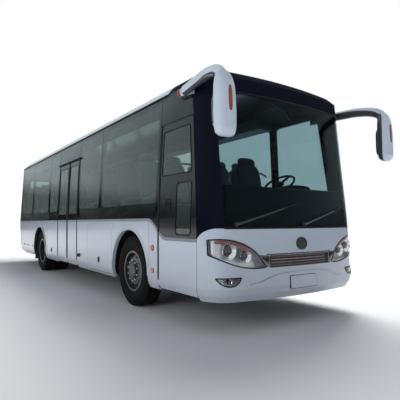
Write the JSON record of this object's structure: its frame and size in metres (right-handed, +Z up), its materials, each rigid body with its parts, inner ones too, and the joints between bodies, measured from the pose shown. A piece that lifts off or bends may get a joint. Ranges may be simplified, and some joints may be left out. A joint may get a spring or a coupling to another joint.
{
  "type": "touring coach",
  "caption": "Single-deck touring coach with bonded side glass, a swing front door, a twin-leaf mid door, luggage flaps, steered front wheels and twin rear wheels.",
  "frame": {"origin": "on the ground, under the middle of the box round the whole coach with its mirrors", "axes": "+X forward, +Y to the driver's (left) side, +Z up"},
  "size_m": [10.8, 2.996, 3.2812],
  "materials": {
    "white_paint": "gloss",
    "black_gloss": "gloss",
    "tinted_glass": "gloss",
    "clear_glass": "gloss",
    "lamp_lens": "gloss",
    "red_lens": "gloss",
    "tyre_rubber": "matte",
    "silver_steel": "satin",
    "chassis_black": "satin",
    "spring_rubber": "matte",
    "cast_grey": "matte",
    "floor_covering": "matte",
    "dark_plastic": "matte",
    "seat_fabric": "matte",
    "arm_steel": "satin"
  },
  "bodies": {
    "coach": {"right_lower_wall": "white_paint", "left_lower_wall": "white_paint", "roof": "white_paint", "front_panel": "white_paint", "front_bumper": "white_paint", "rear_wall": "white_paint", "rear_bumper": "white_paint", "roof_cooler": "white_paint", "mirrors": "white_paint", "windscreen_frame": "black_gloss", "right_window_frame": "black_gloss", "left_window_frame": "black_gloss", "grille": "black_gloss", "right_side_glass": "tinted_glass", "left_side_glass": "tinted_glass", "rear_window": "tinted_glass", "windscreen": "clear_glass", "front_lamps": "lamp_lens", "tail_lamps": "red_lens", "chassis_rails": "chassis_black", "cross_members": "chassis_black", "frame_brackets": "chassis_black", "front_axle": "chassis_black", "rear_axle": "chassis_black", "luggage_hold": "chassis_black", "air_springs": "spring_rubber", "engine": "cast_grey", "floor": "floor_covering", "dashboard": "dark_plastic", "steering_wheel": "dark_plastic", "luggage_racks": "dark_plastic", "seats": "seat_fabric"},
    "knuckle_right": {"knuckle_right": "chassis_black"},
    "knuckle_left": {"knuckle_left": "chassis_black"},
    "track_rod": {"track_rod": "chassis_black"},
    "front_wheel_right": {"front_tyre_right": "tyre_rubber", "front_rim_right": "silver_steel"},
    "front_wheel_left": {"front_tyre_left": "tyre_rubber", "front_rim_left": "silver_steel"},
    "rear_wheels_right": {"rear_tyres_right": "tyre_rubber", "rear_rims_right": "silver_steel"},
    "rear_wheels_left": {"rear_tyres_left": "tyre_rubber", "rear_rims_left": "silver_steel"},
    "front_door_arms": {"front_door_arms": "arm_steel"},
    "front_door": {"front_door": "white_paint", "front_door_glass": "tinted_glass"},
    "mid_door_front_arms": {"mid_door_front_arms": "arm_steel"},
    "mid_door_front": {"mid_door_front": "black_gloss", "mid_door_front_glass": "tinted_glass"},
    "mid_door_rear_arms": {"mid_door_rear_arms": "arm_steel"},
    "mid_door_rear": {"mid_door_rear": "black_gloss", "mid_door_rear_glass": "tinted_glass"},
    "flap_right_front": {"flap_right_front": "white_paint"},
    "flap_right_rear": {"flap_right_rear": "white_paint"},
    "flap_left_front": {"flap_left_front": "white_paint"},
    "flap_left_rear": {"flap_left_rear": "white_paint"},
    "engine_hatch": {"engine_hatch": "white_paint"}
  },
  "joints": [
    {"name": "steer_right", "type": "hinge", "parent": "coach", "child": "knuckle_right", "pos_m": [2.85, -0.86, 0.5175], "axis": [0, 0, 1], "range_deg": [-38, 38]},
    {"name": "steer_left", "type": "hinge", "parent": "coach", "child": "knuckle_left", "pos_m": [2.85, 0.86, 0.5175], "axis": [0, 0, 1], "range_deg": [-38, 38]},
    {"name": "track_rod_turn", "type": "hinge", "parent": "knuckle_right", "child": "track_rod", "pos_m": [2.63, -0.86, 0.4], "axis": [0, 0, -1], "range_deg": [-38, 38]},
    {"name": "front_wheel_right_spin", "type": "hinge", "parent": "knuckle_right", "child": "front_wheel_right", "pos_m": [2.85, -1.0625, 0.5175], "axis": [0, 1, 0], "continuous": true},
    {"name": "front_wheel_left_spin", "type": "hinge", "parent": "knuckle_left", "child": "front_wheel_left", "pos_m": [2.85, 1.0625, 0.5175], "axis": [0, 1, 0], "continuous": true},
    {"name": "rear_wheels_right_spin", "type": "hinge", "parent": "coach", "child": "rear_wheels_right", "pos_m": [-2.6, -1.0625, 0.5175], "axis": [0, 1, 0], "continuous": true},
    {"name": "rear_wheels_left_spin", "type": "hinge", "parent": "coach", "child": "rear_wheels_left", "pos_m": [-2.6, 1.0625, 0.5175], "axis": [0, 1, 0], "continuous": true},
    {"name": "front_door_swing", "type": "hinge", "parent": "coach", "child": "front_door_arms", "pos_m": [4.565, -1.157, 0.6], "axis": [0, 0, 1], "range_deg": [0, 125]},
    {"name": "front_door_guide", "type": "hinge", "parent": "front_door_arms", "child": "front_door", "pos_m": [4.045, -1.157, 0.6], "axis": [0, 0, -1], "range_deg": [0, 125]},
    {"name": "mid_door_front_swing", "type": "hinge", "parent": "coach", "child": "mid_door_front_arms", "pos_m": [0.365, -1.1, 0.6], "axis": [0, 0, 1], "range_deg": [0, 125]},
    {"name": "mid_door_front_guide", "type": "hinge", "parent": "mid_door_front_arms", "child": "mid_door_front", "pos_m": [-0.015, -1.1, 0.6], "axis": [0, 0, -1], "range_deg": [0, 125]},
    {"name": "mid_door_rear_swing", "type": "hinge", "parent": "coach", "child": "mid_door_rear_arms", "pos_m": [-0.865, -1.1, 0.6], "axis": [0, 0, -1], "range_deg": [0, 125]},
    {"name": "mid_door_rear_guide", "type": "hinge", "parent": "mid_door_rear_arms", "child": "mid_door_rear", "pos_m": [-0.485, -1.1, 0.6], "axis": [0, 0, 1], "range_deg": [0, 125]},
    {"name": "flap_right_front_lift", "type": "hinge", "parent": "coach", "child": "flap_right_front", "pos_m": [1.625, -1.243, 1.218], "axis": [1, 0, 0], "range_deg": [-85, 0]},
    {"name": "flap_right_rear_lift", "type": "hinge", "parent": "coach", "child": "flap_right_rear", "pos_m": [-1.445, -1.243, 1.218], "axis": [1, 0, 0], "range_deg": [-85, 0]},
    {"name": "flap_left_front_lift", "type": "hinge", "parent": "coach", "child": "flap_left_front", "pos_m": [1.205, 1.243, 1.218], "axis": [-1, 0, 0], "range_deg": [-85, 0]},
    {"name": "flap_left_rear_lift", "type": "hinge", "parent": "coach", "child": "flap_left_rear", "pos_m": [-0.845, 1.243, 1.218], "axis": [-1, 0, 0], "range_deg": [-85, 0]},
    {"name": "engine_hatch_lift", "type": "hinge", "parent": "coach", "child": "engine_hatch", "pos_m": [-5.38001, 0, 1.5], "axis": [0, -1, 0], "range_deg": [-80, 0]}
  ],
  "couplings": [
    {"joint": "steer_left", "follows": "steer_right", "ratio": 1},
    {"joint": "track_rod_turn", "follows": "steer_right", "ratio": 1},
    {"joint": "front_door_guide", "follows": "front_door_swing", "ratio": 1},
    {"joint": "mid_door_front_guide", "follows": "mid_door_front_swing", "ratio": 1},
    {"joint": "mid_door_rear_guide", "follows": "mid_door_rear_swing", "ratio": 1}
  ]
}
